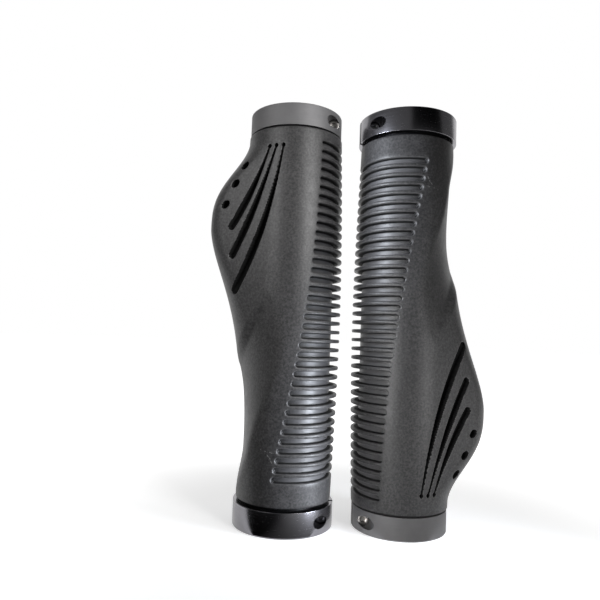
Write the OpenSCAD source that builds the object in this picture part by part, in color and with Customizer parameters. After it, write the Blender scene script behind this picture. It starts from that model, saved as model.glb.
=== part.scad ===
// A pair of lock-on handlebar grips with palm wings, standing on end side by side.
// The left grip is modelled upright on its own axis, with z = 0 at its inner end, the wing
// towards -X and the finger side towards +X. The right grip is the same part, turned half
// round about Y, so that it stands on its outer end.

/* [Pair] */
// Distance between the axes of the two grips
pair_spacing = 38.4; // [36:0.2:60]

/* [Handlebar] */
// Diameter of the handlebar that the grips slide onto
bar_d = 22.2; // [21:0.1:22.4]
// Radial clearance between the bar and the core tube
core_bar_clearance = 0.2; // [0.15:0.01:0.3]
// Radial clearance between the bar and a loosened lock ring
ring_bar_clearance = 0.03; // [0.02:0.01:0.1]

/* [Core tube] */
// Wall of the hard core tube
core_wall = 0.9; // [0.8:0.1:1.2]
// Length of the tabs that key the core into the lock rings
tab_len = 2.6; // [1.5:0.1:3]
// Angle across one tab, seen from the end
tab_angle = 24; // [16:1:28]
// Angle from the finger side to the middle of a tab
tab_place = 58; // [54:1:64]
// Clearance all round a tab in its notch
tab_clearance = 0.3; // [0.15:0.05:0.4]
// Gap between a lock ring and the core's shoulder
seat_gap = 0.05; // [0.02:0.01:0.1]

/* [Rubber sleeve] */
// Length of the rubber sleeve
sleeve_len = 119.3; // [116:0.1:126]
// Radius of the sleeve at its two ends
sleeve_end_r = 15.5; // [15:0.1:15.9]
// How much the sleeve swells between its ends
sleeve_bulge = 1.55; // [0.6:0.05:1.8]
// Height of the thickest place above the sleeve's inner end
bulge_height = 62.6; // [56:0.2:68]
// Chamfer round both ends of the sleeve
sleeve_chamfer = 0.3; // [0.1:0.05:0.5]
// Clearance between the sleeve and the core tube
sleeve_core_clearance = 0.02; // [0.01:0.01:0.05]
// Dark gap between the sleeve and the outer lock ring
outer_gap = 0.5; // [0.3:0.05:1.2]
// Dark gap between the sleeve and the inner lock ring
inner_gap = 0.9; // [0.3:0.05:1.5]

/* [Palm wing] */
// Reach of the wing's tip from the grip's axis
wing_reach = 27.8; // [24:0.1:30]
// Height of the wing's tip above the sleeve's inner end
wing_height = 87.9; // [84:0.1:91]
// Radius of the rounded edge at the wing's tip
wing_tip_r = 7; // [6:0.1:8]
// Length of the wing's rise, from the tip to the outer end
wing_rise = 34.6; // [31:0.1:37]
// Length over which the wing falls away towards the inner end
wing_fall = 27; // [24:0.1:31]

/* [Palm scoop] */
// Height of the scoop's upper end above the sleeve's inner end
scoop_top = 70.8; // [68:0.1:74]
// Height of the scoop's lower end above the sleeve's inner end
scoop_bottom = 0.2; // [0:0.2:5]
// Direction in which the scoop starts, from the wing towards the front
scoop_turn = 57; // [52:1:64]
// Distance from the axis to the scoop's deepest place
waist_r = 13.8; // [13.5:0.05:14.5]
// Radius of the scoop's own gentle curve
scoop_r = 34; // [30:1:40]
// Height above the sleeve's inner end of the scoop's rim on the wing's edge
rim_height = 46.6; // [44:0.2:50]
// Length over which the scoop deepens below its rim
rim_fade = 5; // [2:0.5:8]

/* [Finger grooves] */
// Distance from one finger groove to the next
groove_pitch = 2.954; // [2.8:0.002:3.02]
// Height of one groove
groove_w = 1.85; // [1.5:0.05:2.1]
// Distance from the axis to the floor of the grooves
groove_floor_r = 14.1; // [13.8:0.05:14.6]
// Height of the lowest groove above the sleeve's inner end
groove_start = 8.5; // [6:0.1:10]
// Plain stretch kept above the highest groove
groove_end_margin = 4.2; // [3:0.1:12]
// Angle from the finger side to the end of the highest groove
groove_top_angle = 57.3; // [54:0.1:62]
// The same angle half way down
groove_mid_angle = 73.2; // [70:0.2:80]
// The same angle at the lowest groove
groove_bottom_angle = 104.5; // [100:0.1:112]

/* [Wing slits] */
// Distance from the axis to the floor of the slits
slit_floor_r = 13.9; // [13.6:0.1:14.6]
// Width of a slit at its upper end
slit_top_w = 0.7; // [0.5:0.05:1.2]
// Full width of the two slits nearer to the wing's tip
slit_bottom_w = 2.65; // [1.5:0.05:3]
// Full width of the longest slit
slit_long_w = 3; // [2:0.05:3.2]
// Height of the slits' upper ends above the wing's tip
slit_top = 25.1; // [22:0.1:26]
// Distance between the slits at their upper ends
slit_spacing = 2.4; // [2:0.1:3]
// Distance along the wing's flat side to the upper end of the slit nearest to the tip
slit_place = 2; // [1:0.1:3]
// Diameter of the little round end at the top of a slit
slit_head_d = 1.3; // [1:0.1:1.6]
// Width of the three oval dots beside the slits
dot_w = 2.4; // [2:0.1:2.8]
// Length of the dots
dot_l = 3.4; // [2.4:0.1:3.8]
// Angle that the dots lean by, from upright to away from the wing's tip
dot_lean = 55; // [0:5:90]
// Depth of the dots
dot_depth = 2.4; // [1.5:0.1:3]

/* [Lock rings] */
// Outer diameter of the ring at the outer end of a grip
outer_ring_d = 31; // [30.8:0.1:32]
// Height of the ring at the outer end
outer_ring_h = 7.2; // [5.6:0.1:9]
// Outer diameter of the ring at the inner end of a grip
inner_ring_d = 32.9; // [30.8:0.1:34]
// Height of the ring at the inner end
inner_ring_h = 7.8; // [6:0.1:10]
// Chamfer on the rings' outer edges
ring_chamfer = 0.35; // [0.1:0.05:0.5]
// Width of the saw cut through a ring
ring_split_w = 1.2; // [0.6:0.1:2]

/* [Pinch bolts] */
// Wall left between a bolt's hole and the bar
bolt_wall = 0.45; // [0.35:0.05:0.6]
// Angle from the finger side to the middle of a bolt, towards the front
bolt_place = 5.5; // [3:0.5:9]
// Diameter of a bolt's shank
bolt_d = 2.5; // [2:0.1:2.6]
// Radial clearance of a bolt in its hole
bolt_clearance = 0.05; // [0.02:0.01:0.1]
// Length of a bolt's shank
bolt_len = 9; // [7:0.1:9.4]
// Diameter of a bolt's head
bolt_head_d = 3.7; // [3.4:0.05:3.8]
// Height of a bolt's head
bolt_head_h = 1.7; // [1.5:0.05:1.8]
// Radial clearance round a bolt's head in its counterbore
head_clearance = 0.1; // [0.05:0.01:0.12]
// Wall left between the counterbore's floor and the bar
seat_wall = 0.3; // [0.2:0.05:0.4]
// Least wall between the counterbore's floor and the saw cut
split_wall = 1; // [0.6:0.1:1.5]
// Size of the hexagon socket across its flats
socket_af = 2; // [1.5:0.1:2.2]
// Depth of the hexagon socket
socket_depth = 1.2; // [0.8:0.1:1.4]
// Chamfer on a bolt's head and tip
bolt_chamfer = 0.3; // [0.1:0.05:0.4]

/* [Hidden] */
$fn = 96;

// Cuts run this far past the faces that they open
over = 1;

// Heights along a grip, from the face of its inner lock ring
sleeve_z0 = inner_ring_h + inner_gap;
sleeve_z1 = sleeve_z0 + sleeve_len;
outer_ring_z = sleeve_z1 + outer_gap;
grip_len = outer_ring_z + outer_ring_h;

// Core tube
core_in_r = bar_d / 2 + core_bar_clearance;
core_out_r = core_in_r + core_wall;
core_z0 = inner_ring_h + seat_gap;
core_z1 = outer_ring_z - seat_gap;
tab_places = [tab_place, 180 - tab_place, 180 + tab_place, 360 - tab_place];

// Lock rings
ring_in_r = bar_d / 2 + ring_bar_clearance;
notch_out_r = core_out_r + tab_clearance;
notch_angle = tab_angle + 2 * atan(tab_clearance / core_out_r);
notch_depth = tab_len - seat_gap + tab_clearance;

// Pinch bolts: their distance from the grip's axis, and the place of the head's seat along
// them, counted from the place nearest that axis
bolt_offset = ring_in_r + bolt_wall + bolt_clearance + bolt_d / 2;
bore_head_r = bolt_head_d / 2 + head_clearance;
bolt_seat = max(ring_split_w / 2 + split_wall,
    sqrt(max(0, pow(ring_in_r + seat_wall, 2) - pow(bolt_offset - bore_head_r, 2))));

// Sleeve shape
sleeve_in_r = core_out_r + sleeve_core_clearance;
bulge_z = sleeve_z0 + bulge_height;
// The swelling would run out this far past the sleeve's farther end
bulge_margin = 3;
bulge_span = max(bulge_height, sleeve_len - bulge_height) + bulge_margin;
bulge_power = 1.3;
wing_z = sleeve_z0 + wing_height;
// Powers that make the wing full near its tip and soft at its two ends
rise_power = 2.9;
rise_softness = 4;
fall_power = 1.66;
scoop_z1 = sleeve_z0 + scoop_top;
scoop_z0 = sleeve_z0 + scoop_bottom;
// Shares of the scoop's height, counted down from its upper end: where it starts to swing
// round to the wing's side and how long that takes, the same for its deepening, and how
// long it takes to fade out at its lower end
swing_start = 0.08;
swing_share = 0.77;
deepen_start = 0.01;
deepen_share = 0.53;
fade_share = 0.23;
// The scoop's rim climbs from the wing's edge round to the front, by this much for each
// degree and for each degree squared
rim_slope = 0.16;
rim_bend = 0.0026;
// Stands for no cut at all
far_r = 1000;

// Facets of the small round ends of grooves and slits, and of the dots
small_fn = 24;

// Mesh of the sleeve: rings along its height, and points from the wing round to the fingers
sleeve_rings = 42;
half_points = 30;
point_power = 1.6;

// Finger grooves
groove_count = 1 + floor((sleeve_len - groove_start - groove_end_margin) / groove_pitch);
groove_bow = groove_mid_angle - (groove_top_angle + groove_bottom_angle) / 2;

// Wing slits on the flat side of the wing, each bent between three points that are given as
// [distance along the flat, height above the wing's tip]
slit_direction = 65.5;
slit_tops = [for (i = [0:2]) [slit_place - slit_spacing * i, slit_top]];
slit_bends = [[6.5, 11.3], [5.1, 5.9], [0.4, -0.5]];
slit_bottoms = [[14.7, -0.2], [14, -9.6], [12.8, -20.9]];
slit_steps = 16;
// How many times sooner than its lower end a slit reaches its full width
slit_widening = 1.3;
// Dots: [direction from the axis, height above the wing's tip, direction that the dot faces]
dots = [[29.5, 19.7, 53], [23.4, 13.9, 62], [17.2, 7.2, 65.5]];

// ---- Shape of the sleeve -------------------------------------------------------------

function smooth(t) = let (u = min(1, max(0, t))) u * u * (3 - 2 * u);

// Radius of the round body at height z
function body_r(z) = sleeve_end_r
    + sleeve_bulge * pow(max(0, 1 - pow((z - bulge_z) / bulge_span, 2)), bulge_power);

// Share of the wing's full reach at height z
function wing_share(z) = z > wing_z
    ? pow(max(0, 1 - pow((z - wing_z) / wing_rise, rise_power)), rise_softness)
    : exp(-pow((wing_z - z) / wing_fall, fall_power));

// Radius of a section of body and wing, in direction a from the wing
function winged_r(z, a) = let (
    r = body_r(z),
    share = wing_share(z),
    reach = max(r, sleeve_end_r + (wing_reach - sleeve_end_r) * share),
    tip = wing_tip_r + (r - wing_tip_r) * (1 - share),
    c = max(0.001, reach - tip),
    flat_dir = acos(min(1, (r - tip) / c)),
    tip_dir = atan2(tip * sin(flat_dir), c + tip * cos(flat_dir)),
    b = abs(a)
) b <= tip_dir ? c * cos(b) + sqrt(tip * tip - pow(c * sin(b), 2))
    : b < flat_dir ? r / cos(b - flat_dir)
    : r;

// Radius to which the palm scoop cuts, in direction a from the wing
function scoop_r_at(z, a) = let (
    u = (scoop_z1 - z) / (scoop_z1 - scoop_z0),
    turn = scoop_turn * (1 - smooth((u - swing_start) / swing_share)),
    depth = smooth((u - deepen_start) / deepen_share) * smooth((1 - u) / fade_share),
    floor_r = body_r(z) - (body_r(z) - waist_r) * depth,
    e = scoop_r - floor_r,
    b = abs(a) - turn
) depth <= 0 || abs(b) > 90 ? far_r
    : -e * cos(b) + sqrt(scoop_r * scoop_r - pow(e * sin(b), 2));

// Height of the scoop's rim in direction a from the wing
function rim_z(a) = sleeve_z0 + rim_height + rim_slope * abs(a) + rim_bend * a * a;

function sleeve_r(z, a) = let (r = winged_r(z, a))
    r - max(0, r - scoop_r_at(z, a)) * smooth((rim_z(a) - z) / rim_fade);

// Directions of a ring's points, close together at the wing's tip
function point_dir(k) = k <= half_points
    ? 180 * pow(k / half_points, point_power)
    : -180 * pow((2 * half_points - k) / half_points, point_power);

module sleeve_outside() {
    n = 2 * half_points;
    body_z = [for (i = [0:sleeve_rings])
        sleeve_z0 + sleeve_chamfer + (sleeve_len - 2 * sleeve_chamfer) * i / sleeve_rings];
    heights = concat([sleeve_z0], body_z, [sleeve_z1]);
    last = len(heights) - 1;
    points = [for (i = [0:last], k = [0:n - 1]) let (
        z = heights[i],
        a = point_dir(k),
        r = sleeve_r(z, a) - (i == 0 || i == last ? sleeve_chamfer : 0)
    ) [-r * cos(a), -r * sin(a), z]];
    sides = [for (i = [0:last - 1], k = [0:n - 1], s = [0, 1]) let (
        p = i * n + k,
        q = i * n + (k + 1) % n
    ) s == 0 ? [p, p + n, q + n] : [p, q + n, q]];
    ends = [[for (k = [0:n - 1]) k], [for (k = [n - 1:-1:0]) last * n + k]];
    polyhedron(points, concat(sides, ends), convexity = 6);
}

// ---- Cuts in the sleeve --------------------------------------------------------------

// Angle from the finger side to the ends of groove i, counted from the bottom
function groove_end(i) = let (t = i / max(1, groove_count - 1))
    groove_bottom_angle * (1 - t) + groove_top_angle * t + groove_bow * 4 * t * (1 - t);

// A groove with round ends, open to the finger side. The ends are a hair narrower and
// shallower than the groove, because surfaces that only touch make a weak cut
module finger_groove(i) {
    hair = 0.03;
    turn = groove_end(i) - asin(groove_w / 2 / sleeve_end_r);
    depth = sleeve_end_r + sleeve_bulge + over - groove_floor_r;
    translate([0, 0, sleeve_z0 + groove_start + groove_pitch * i]) {
        rotate([0, 0, -turn])
            rotate_extrude(angle = 2 * turn)
                translate([groove_floor_r, -groove_w / 2]) square([depth, groove_w]);
        for (side = [-1, 1])
            rotate([0, 90, side * turn])
                translate([0, 0, groove_floor_r + hair])
                    cylinder(d = groove_w - hair, h = depth + hair, $fn = small_fn);
    }
}

function bend(p, q, r, t) = (1 - t) * (1 - t) * p + 2 * t * (1 - t) * q + t * t * r;

// Outline of slit i, in the plane of the wing's flat side
module slit_outline(i) {
    line = [for (s = [0:slit_steps])
        bend(slit_tops[i], slit_bends[i], slit_bottoms[i], s / slit_steps)];
    dir = [for (s = [0:slit_steps]) let (
        a = line[max(0, s - 1)], b = line[min(slit_steps, s + 1)]
    ) (b - a) / norm(b - a)];
    full_w = i < 2 ? slit_bottom_w : slit_long_w;
    half = [for (s = [0:slit_steps])
        (slit_top_w + (full_w - slit_top_w) * smooth(s / slit_steps * slit_widening)) / 2];
    polygon(concat(
        [for (s = [0:slit_steps]) line[s] + half[s] * [-dir[s].y, dir[s].x]],
        [for (s = [slit_steps:-1:0]) line[s] - half[s] * [-dir[s].y, dir[s].x]]
    ));
    translate(slit_tops[i]) circle(d = slit_head_d, $fn = small_fn);
    translate(slit_bottoms[i]) circle(d = full_w, $fn = small_fn);
}

// Stands its children's plane upright at distance r, facing direction dir from the wing
module facing(dir, r) {
    rotate([0, 0, dir])
        translate([-r, 0, 0])
            rotate([90, 0, -90])
                mirror([1, 0, 0]) children();
}

module wing_slits() {
    for (i = [0:2])
        translate([0, 0, wing_z])
            facing(slit_direction, slit_floor_r)
                linear_extrude(wing_reach) slit_outline(i);
}

module dot_outline() {
    rotate(-dot_lean)
        polygon([for (a = [0:360 / small_fn:359]) [dot_l / 2 * cos(a), dot_w / 2 * sin(a)]]);
}

module wing_dots() {
    for (dot = dots) {
        z = wing_z + dot[1];
        r = sleeve_r(z, dot[0]);
        translate([-r * cos(dot[0]), -r * sin(dot[0]), z])
            rotate([0, 0, dot[2]])
                rotate([0, -90, 0])
                    translate([0, 0, -dot_depth])
                        linear_extrude(dot_depth + wing_tip_r) dot_outline();
    }
}

// ---- Pieces of one grip --------------------------------------------------------------

module rubber_sleeve() {
    color([0.20, 0.20, 0.21])
        difference() {
            sleeve_outside();
            translate([0, 0, sleeve_z0 - over]) cylinder(r = sleeve_in_r, h = sleeve_len + 2 * over);
            for (i = [0:groove_count - 1]) finger_groove(i);
            for (side = [0, 1])
                mirror([0, side, 0]) {
                    wing_slits();
                    wing_dots();
                }
        }
}

// A piece of a thick-walled ring, from angle a0 to a1
module sector(r0, r1, a0, a1, h) {
    rotate([0, 0, a0])
        rotate_extrude(angle = a1 - a0)
            translate([r0, 0]) square([r1 - r0, h]);
}

module core_tube() {
    color([0.08, 0.08, 0.08])
        difference() {
            translate([0, 0, core_z0 - tab_len])
                cylinder(r = core_out_r, h = core_z1 - core_z0 + 2 * tab_len);
            cylinder(r = core_in_r, h = 2 * grip_len, center = true);
            for (i = [0:3]) {
                a0 = tab_places[i] + tab_angle / 2;
                a1 = tab_places[(i + 1) % 4] + (i < 3 ? 0 : 360) - tab_angle / 2;
                for (z = [core_z0 - tab_len - over, core_z1])
                    translate([0, 0, z])
                        sector(core_in_r - over, core_out_r + over, a0, a1, tab_len + over);
            }
        }
}

// Lays its children's Z axis along the pinch bolt of a ring of height h, head to the front
module along_bolt(h) {
    rotate([0, 0, -bolt_place])
        translate([bolt_offset, 0, h / 2])
            rotate([90, 0, 0]) children();
}

// A split lock ring with its sleeve side at z = 0
module lock_ring(d, h) {
    r = d / 2;
    c = ring_chamfer;
    difference() {
        rotate_extrude()
            polygon([[ring_in_r, 0], [r - c, 0], [r, c], [r, h - c], [r - c, h], [ring_in_r, h]]);
        rotate([0, 0, -bolt_place])
            translate([0, -ring_split_w / 2, -over]) cube([d, ring_split_w, h + 2 * over]);
        for (place = tab_places)
            translate([0, 0, -over])
                sector(ring_in_r - over, notch_out_r, place - notch_angle / 2,
                    place + notch_angle / 2, notch_depth + over);
        along_bolt(h) {
            cylinder(r = bolt_d / 2 + bolt_clearance, h = d, center = true);
            translate([0, 0, bolt_seat]) cylinder(r = bore_head_r, h = d);
        }
    }
}

// A pinch bolt in a ring of height h
module pinch_bolt(h) {
    r = bolt_d / 2;
    head_r = bolt_head_d / 2;
    c = bolt_chamfer;
    z0 = bolt_seat + seat_gap;
    z1 = z0 + bolt_head_h;
    along_bolt(h)
        difference() {
            rotate_extrude()
                polygon([[0, z0 - bolt_len], [r - c, z0 - bolt_len], [r, z0 - bolt_len + c], [r, z0],
                    [head_r, z0], [head_r, z1 - c], [head_r - c, z1], [0, z1]]);
            translate([0, 0, z1 - socket_depth])
                cylinder(d = socket_af / cos(30), h = socket_depth + over, $fn = 6);
        }
}

// Moves a piece from a ring's own place to the outer or the inner end of a grip
module outer_end() { translate([0, 0, outer_ring_z]) children(); }
module inner_end() { translate([0, 0, inner_ring_h]) mirror([0, 0, 1]) children(); }

module outer_lock_ring() {
    color([0.34, 0.34, 0.35]) outer_end() lock_ring(outer_ring_d, outer_ring_h);
}

module inner_lock_ring() {
    color([0.22, 0.22, 0.24]) inner_end() lock_ring(inner_ring_d, inner_ring_h);
}

module outer_pinch_bolt() {
    color([0.45, 0.44, 0.43]) outer_end() pinch_bolt(outer_ring_h);
}

module inner_pinch_bolt() {
    color([0.10, 0.10, 0.11]) inner_end() pinch_bolt(inner_ring_h);
}

// ---- The pair ------------------------------------------------------------------------

module left() { translate([-pair_spacing / 2, 0, 0]) children(); }
module right() { translate([pair_spacing / 2, 0, grip_len]) rotate([0, 180, 0]) children(); }

left() rubber_sleeve();  // left_rubber_sleeve
left() core_tube();  // left_core_tube
left() outer_lock_ring();  // left_outer_lock_ring
left() outer_pinch_bolt();  // left_outer_pinch_bolt
left() inner_lock_ring();  // left_inner_lock_ring
left() inner_pinch_bolt();  // left_inner_pinch_bolt
right() rubber_sleeve();  // right_rubber_sleeve
right() core_tube();  // right_core_tube
right() outer_lock_ring();  // right_outer_lock_ring
right() outer_pinch_bolt();  // right_outer_pinch_bolt
right() inner_lock_ring();  // right_inner_lock_ring
right() inner_pinch_bolt();  // right_inner_pinch_bolt
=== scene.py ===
# Looks for the pair of handlebar grips: dense rubber sleeves, turned rings and bolts, the
# materials, the floor, the lamps and the camera of the photograph.
import math

import bmesh
import bpy
import numpy as np
from mathutils import Matrix, Vector
from mathutils.bvhtree import BVHTree


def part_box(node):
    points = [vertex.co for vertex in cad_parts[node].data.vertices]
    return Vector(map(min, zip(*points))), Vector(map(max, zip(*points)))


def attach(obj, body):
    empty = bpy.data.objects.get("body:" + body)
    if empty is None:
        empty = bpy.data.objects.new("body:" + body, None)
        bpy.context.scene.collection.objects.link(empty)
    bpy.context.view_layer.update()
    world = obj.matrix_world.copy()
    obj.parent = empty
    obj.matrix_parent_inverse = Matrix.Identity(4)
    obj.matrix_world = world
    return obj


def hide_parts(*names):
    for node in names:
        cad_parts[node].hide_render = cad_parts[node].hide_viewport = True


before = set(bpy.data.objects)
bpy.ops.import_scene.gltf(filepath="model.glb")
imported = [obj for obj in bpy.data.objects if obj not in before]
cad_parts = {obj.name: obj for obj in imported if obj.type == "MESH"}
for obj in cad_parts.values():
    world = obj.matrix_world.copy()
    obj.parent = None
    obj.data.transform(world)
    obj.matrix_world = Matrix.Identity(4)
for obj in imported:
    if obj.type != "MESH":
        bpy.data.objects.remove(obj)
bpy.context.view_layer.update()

MM = 0.001

# ---- Sizes in millimetres, from the frame where it holds them, else as in the CAD source --


def node_box(node):
    lo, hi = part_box(node)
    return np.array(lo) / MM, np.array(hi) / MM


sleeve_lo, sleeve_hi = node_box("left_rubber_sleeve")
inner_lo, inner_hi = node_box("left_inner_lock_ring")
outer_lo, outer_hi = node_box("left_outer_lock_ring")
core_lo, core_hi = node_box("left_core_tube")
SLEEVE_Z0, SLEEVE_Z1 = sleeve_lo[2], sleeve_hi[2]
GRIP_LEN = outer_hi[2]
GRIP_X = (inner_lo[0] + inner_hi[0]) / 2
INNER_D, INNER_H = inner_hi[1] - inner_lo[1], inner_hi[2]
OUTER_D, OUTER_H = outer_hi[1] - outer_lo[1], outer_hi[2] - outer_lo[2]
SLEEVE_IN_R = (core_hi[1] - core_lo[1]) / 2 + 0.02

END_R, BULGE, BULGE_Z, BULGE_SPAN, BULGE_POWER = 15.5, 1.55, SLEEVE_Z0 + 62.6, 65.6, 1.3
WING_REACH, WING_Z, WING_TIP_R = 27.8, SLEEVE_Z0 + 87.9, 7.0
WING_RISE, RISE_POWER, RISE_SOFTNESS = 34.6, 2.9, 4.0
WING_FALL, FALL_POWER = 27.0, 1.66
SCOOP_Z1, SCOOP_Z0, SCOOP_TURN = SLEEVE_Z0 + 70.8, SLEEVE_Z0 + 0.2, math.radians(57)
WAIST_R, SCOOP_R = 13.8, 34.0
SWING_START, SWING_SHARE = 0.08, 0.77
DEEPEN_START, DEEPEN_SHARE, FADE_SHARE = 0.01, 0.53, 0.23
RIM_Z, RIM_SLOPE, RIM_BEND, RIM_FADE = SLEEVE_Z0 + 46.6, 0.16, 0.0026, 5.0
CREASE_SOFTNESS = 0.5
GROOVES, PITCH, GROOVE_W, GROOVE_FLOOR = 37, 2.954, 1.85, 14.1
GROOVE_Z = SLEEVE_Z0 + 8.5
GROOVE_SHADE = 4.0  # length of the painted shade at each end of a groove's floor, where its painted lift fades out
GROOVE_ANGLES = [math.radians(a) for a in (104.5, 73.2, 57.3)]  # bottom, middle, top
SLIT_DIR, SLIT_FLOOR = math.radians(65.5), 13.9
SLIT_TOP_W, SLIT_FULL_W = 0.7, (2.65, 2.65, 3.0)
SLIT_WIDENING, SLIT_HEAD_R = 1.3, 0.65
SLITS = [
    [(2.0, 25.1), (6.5, 11.3), (14.7, -0.2)],
    [(-0.4, 25.1), (5.1, 5.9), (14.0, -9.6)],
    [(-2.8, 25.1), (0.4, -0.5), (12.8, -20.9)],
]
DOTS = [(29.5, 19.7, 53.0), (23.4, 13.9, 62.0), (17.2, 7.2, 65.5)]
DOT_W, DOT_L, DOT_LEAN, DOT_DEPTH = 2.4, 3.4, math.radians(55), 2.4
END_ROUND = 0.3

CORE_IN_R, CORE_OUT_R = 11.3, (core_hi[1] - core_lo[1]) / 2
TAB_LEN = 2.6
CORE_Z0, CORE_Z1 = core_lo[2] + TAB_LEN, core_hi[2] - TAB_LEN
TAB_ANGLE, TAB_PLACES = math.radians(24), [math.radians(a) for a in (58, 122, 238, 302)]
TAB_CLEAR, SEAT_GAP = 0.3, 0.05
RING_IN_R, RING_EDGE, RING_ROUND, SPLIT_W = 11.13, 0.12, 0.3, 1.2
BOLT_PLACE, BOLT_OFFSET, BOLT_SEAT = math.radians(5.5), 12.88, 3.339
BOLT_R, BOLT_CLEAR, BOLT_LEN = 1.25, 0.05, 9.0
HEAD_R, HEAD_H, HEAD_CLEAR = 1.85, 1.7, 0.1
SOCKET_AF, SOCKET_DEPTH = 2.0, 1.2
THREAD_PITCH, THREAD_DEPTH = 0.45, 0.16


# ---- Shape of the sleeve ------------------------------------------------------------------


def smooth(t):
    t = np.clip(t, 0, 1)
    return t * t * (3 - 2 * t)


def body_r(z):
    return END_R + BULGE * np.clip(1 - ((z - BULGE_Z) / BULGE_SPAN) ** 2, 0, None) ** BULGE_POWER


def section_r(z, a):
    """The sleeve's outside at height z, in direction a from the wing, as in the CAD source
    but with the scoop's edges softened."""
    r = body_r(z)
    rise = np.clip((z - WING_Z) / WING_RISE, 0, 1) ** RISE_POWER
    up = np.clip(1 - rise, 0, None) ** RISE_SOFTNESS
    down = np.exp(-np.clip((WING_Z - z) / WING_FALL, 0, None) ** FALL_POWER)
    share = np.where(z > WING_Z, up, down)
    reach = np.maximum(r, END_R + (WING_REACH - END_R) * share)
    tip = WING_TIP_R + (r - WING_TIP_R) * (1 - share)
    c = np.maximum(0.001, reach - tip)
    flat = np.arccos(np.minimum(1, (r - tip) / c))
    tip_dir = np.arctan2(tip * np.sin(flat), c + tip * np.cos(flat))
    b = np.abs(a)
    on_tip = c * np.cos(b) + np.sqrt(np.maximum(0, tip**2 - (c * np.sin(b)) ** 2))
    on_flat = r / np.cos(np.clip(b - flat, -1.4, 0))
    winged = np.where(b <= tip_dir, on_tip, np.where(b < flat, on_flat, r))
    u = (SCOOP_Z1 - z) / (SCOOP_Z1 - SCOOP_Z0)
    turn = SCOOP_TURN * (1 - smooth((u - SWING_START) / SWING_SHARE))
    depth = smooth((u - DEEPEN_START) / DEEPEN_SHARE) * smooth((1 - u) / FADE_SHARE)
    e = SCOOP_R - (r - (r - WAIST_R) * depth)
    q = np.clip(b - turn, -1.5, 1.5)
    scoop = -e * np.cos(q) + np.sqrt(SCOOP_R**2 - (e * np.sin(q)) ** 2)
    scoop = np.where((depth <= 0) | (np.abs(b - turn) > 1.5), 1000, scoop)
    near = np.clip(CREASE_SOFTNESS - np.abs(winged - scoop), 0, None) / CREASE_SOFTNESS
    near = near * np.clip(depth * 8, 0, 1)
    cut = np.clip(winged - scoop, 0, None) + near**2 * CREASE_SOFTNESS / 4
    degrees = np.degrees(b)
    rim = RIM_Z + RIM_SLOPE * degrees + RIM_BEND * degrees**2
    return winged - cut * smooth((rim - z) / RIM_FADE)


def groove_end(z):
    """Angle from the finger side to the ends of the grooves, at height z."""
    t = np.clip((z - GROOVE_Z) / (PITCH * (GROOVES - 1)), 0, 1)
    bottom, middle, top = GROOVE_ANGLES
    return bottom * (1 - t) + top * t + (middle - (top + bottom) / 2) * 4 * t * (1 - t)


# Heights of one groove's rows from its middle: floor, foot and top of the wall, rounded
# rim, and the middle of the rib. Every third row also runs round the coarse parts.
WALL_IN, WALL_OUT, RIM = -0.075, 0.005, 0.3
MID_WALL = (WALL_IN + WALL_OUT) / 2
HALF_W = GROOVE_W / 2
ROW_V = [0, 0.34, 0.62, HALF_W + WALL_IN, HALF_W + WALL_OUT, 1.05, 1.22, PITCH / 2]
ROWS_EACH = 14
# Columns of the front half, in zones from the finger side to the wing's tip: "a" the
# grooves, "b" their ends, "c" up to the wing, "d" the wing's side and "e" its tip
COLUMNS = {"a": 12, "b": 12, "c": 18, "d": 84, "e": 8}
ENDS_BEFORE, ENDS_AFTER = 1.6, 0.6  # reach of zone b round the grooves' ends
SIDE_FIRST, SIDE_GAP, SIDE_LAST = (math.radians(v) for v in (79, 9, 14))  # limits of zone d
SLITS_BELOW, SLITS_ABOVE = 26, 27  # reach of the slits from the wing's tip
SNAP_GROOVE, SNAP_SLIT, SNAP_DOT = 0.11, 0.15, 0.16  # how near a wall vertices move onto it
LIP_ROUND, BORE_EDGE = 0.18, 0.12  # rims of slits and dots, and ends of the bore


def rows():
    """(height at the finger side, height at the wing side, kept in coarse parts) per row."""
    got = []
    for z in (0, 0.09, 0.3, 0.9, 1.6, 2.4, 3.2, 4.0, 4.8, 5.6, 6.3):
        got.append((SLEEVE_Z0 + z, SLEEVE_Z0 + z, True))
    for i in range(GROOVES):
        for k in range(-6, 8):
            if i == GROOVES - 1 and k == 7:
                break
            v = math.copysign(ROW_V[abs(k)], k) if k else 0.0
            z = GROOVE_Z + PITCH * i
            got.append((z + v, z + k / ROWS_EACH * PITCH, k % 3 == 0))
    last = got[-1][0]
    for z in (4.6, 3.9, 3.2, 2.5, 1.7, 0.9, 0.3, 0.09, 0):
        if SLEEVE_Z1 - z > last + 0.1:
            got.append((SLEEVE_Z1 - z, SLEEVE_Z1 - z, True))
    return got


def end_inset(z):
    """How far the rounded ends draw the surface in at height z."""
    d = np.clip(np.minimum(z - SLEEVE_Z0, SLEEVE_Z1 - z) / END_ROUND, 0, 1)
    return END_ROUND * (1 - np.sqrt(1 - (1 - d) ** 2))


def rim_drop(d, round_r):
    """Depth of a rounded rim at distance d outside a wall."""
    t = np.clip(1 - d / round_r, 0, 1)
    return round_r * (1 - np.sqrt(np.maximum(0, 1 - t**2)))


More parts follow.
